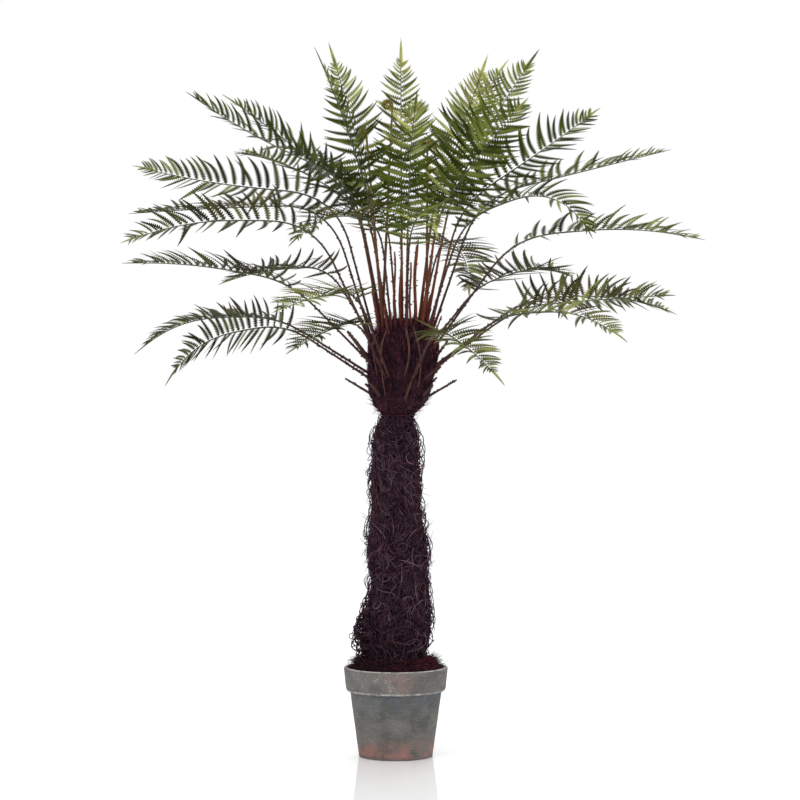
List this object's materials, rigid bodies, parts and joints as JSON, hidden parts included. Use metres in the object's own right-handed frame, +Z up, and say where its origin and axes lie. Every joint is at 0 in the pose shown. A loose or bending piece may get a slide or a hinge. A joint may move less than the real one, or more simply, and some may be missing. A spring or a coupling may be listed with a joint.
{
  "type": "artificial tree fern",
  "caption": "Potted artificial tree fern: weathered pot, fibre-covered trunk with a swollen crown, arching toothed fronds and coiled young ones.",
  "frame": {"origin": "centre of the pot's flat underside", "axes": "+Z up the trunk; the side shown in the picture faces -Y, with +X to its right"},
  "size_m": [1.2101, 1.0369, 1.5076],
  "materials": {
    "pot": "grey-green weathered wash over terracotta, matt",
    "coir": "loose dark coir",
    "root_fibre": "matted dark brown root fibre",
    "crown_felt": "dark maroon felted scales",
    "stalk": "red-brown, knobby, satin",
    "leaf": "green leaflets, satin",
    "young_frond": "golden brown, satin"
  },
  "bodies": {
    "root": {"crown": "crown_felt", "crozier_1": "young_frond", "crozier_2": "young_frond", "crozier_3": "young_frond", "frond_01": "leaf", "frond_02": "leaf", "frond_03": "leaf", "frond_04": "leaf", "frond_05": "leaf", "frond_06": "leaf", "frond_07": "leaf", "frond_08": "leaf", "frond_09": "leaf", "frond_10": "leaf", "frond_11_blade": "leaf", "frond_11_stalk": "stalk", "frond_12_blade": "leaf", "frond_12_stalk": "stalk", "frond_13": "leaf", "frond_14": "leaf", "frond_15": "leaf", "frond_16_blade": "leaf", "frond_16_stalk": "stalk", "frond_17_blade": "leaf", "frond_17_stalk": "stalk", "frond_18_blade": "leaf", "frond_18_stalk": "stalk", "frond_19": "leaf", "frond_20": "leaf", "frond_21_blade": "leaf", "frond_21_stalk": "stalk", "frond_22_blade": "leaf", "frond_22_stalk": "stalk", "frond_23_blade": "leaf", "frond_23_stalk": "stalk", "frond_24_blade": "leaf", "frond_24_stalk": "stalk", "frond_25": "leaf", "frond_26_blade": "leaf", "frond_26_stalk": "stalk", "frond_27_blade": "leaf", "frond_27_stalk": "stalk", "frond_28_blade": "leaf", "frond_28_stalk": "stalk", "frond_29_blade": "leaf", "frond_29_stalk": "stalk", "frond_30_blade": "leaf", "frond_30_stalk": "stalk", "frond_31_blade": "leaf", "frond_31_stalk": "stalk", "frond_32_blade": "leaf", "frond_32_stalk": "stalk", "frond_33_blade": "leaf", "frond_33_stalk": "stalk", "frond_34_blade": "leaf", "frond_34_stalk": "stalk", "pot": "pot", "pot_filling": "coir", "trunk": "root_fibre"}
  },
  "joints": []
}
